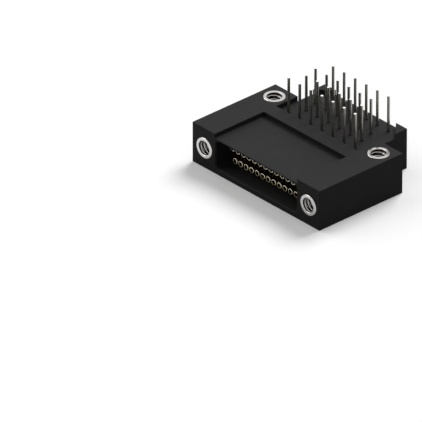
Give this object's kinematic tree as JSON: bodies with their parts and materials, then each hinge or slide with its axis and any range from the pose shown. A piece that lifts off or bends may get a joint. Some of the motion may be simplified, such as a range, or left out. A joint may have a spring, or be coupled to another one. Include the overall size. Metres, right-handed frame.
{
  "type": "right-angle board connector",
  "caption": "Right-angle board-mount socket connector: black moulding, mating cavity with two rows of gold tubes, bent wire tails and threaded inserts.",
  "frame": {"origin": "middle of the moulding's outline, on the flat top face that it rests on", "axes": "+Z towards the board side and the tails' tips, -Y out of the mating face, +X to the right seen from the mating side"},
  "size_m": [0.0292, 0.0232, 0.0126],
  "materials": {
    "black_moulding": "matt moulded",
    "potting_resin": "satin cast",
    "gold_plating": "polished plating",
    "tinned_wire": "satin drawn wire",
    "insert_steel": "machined"
  },
  "bodies": {
    "root": {"housing": "black_moulding", "potting_block": "potting_resin", "jack_insert_left": "insert_steel", "jack_insert_right": "insert_steel", "board_insert_left": "insert_steel", "board_insert_right": "insert_steel", "socket_01": "gold_plating", "socket_02": "gold_plating", "socket_03": "gold_plating", "socket_04": "gold_plating", "socket_05": "gold_plating", "socket_06": "gold_plating", "socket_07": "gold_plating", "socket_08": "gold_plating", "socket_09": "gold_plating", "socket_10": "gold_plating", "socket_11": "gold_plating", "socket_12": "gold_plating", "socket_13": "gold_plating", "socket_14": "gold_plating", "socket_15": "gold_plating", "socket_16": "gold_plating", "socket_17": "gold_plating", "socket_18": "gold_plating", "socket_19": "gold_plating", "socket_20": "gold_plating", "socket_21": "gold_plating", "socket_22": "gold_plating", "socket_23": "gold_plating", "socket_24": "gold_plating", "socket_25": "gold_plating", "tail_01": "tinned_wire", "tail_02": "tinned_wire", "tail_03": "tinned_wire", "tail_04": "tinned_wire", "tail_05": "tinned_wire", "tail_06": "tinned_wire", "tail_07": "tinned_wire", "tail_08": "tinned_wire", "tail_09": "tinned_wire", "tail_10": "tinned_wire", "tail_11": "tinned_wire", "tail_12": "tinned_wire", "tail_13": "tinned_wire", "tail_14": "tinned_wire", "tail_15": "tinned_wire", "tail_16": "tinned_wire", "tail_17": "tinned_wire", "tail_18": "tinned_wire", "tail_19": "tinned_wire", "tail_20": "tinned_wire", "tail_21": "tinned_wire", "tail_22": "tinned_wire", "tail_23": "tinned_wire", "tail_24": "tinned_wire", "tail_25": "tinned_wire"}
  },
  "joints": []
}
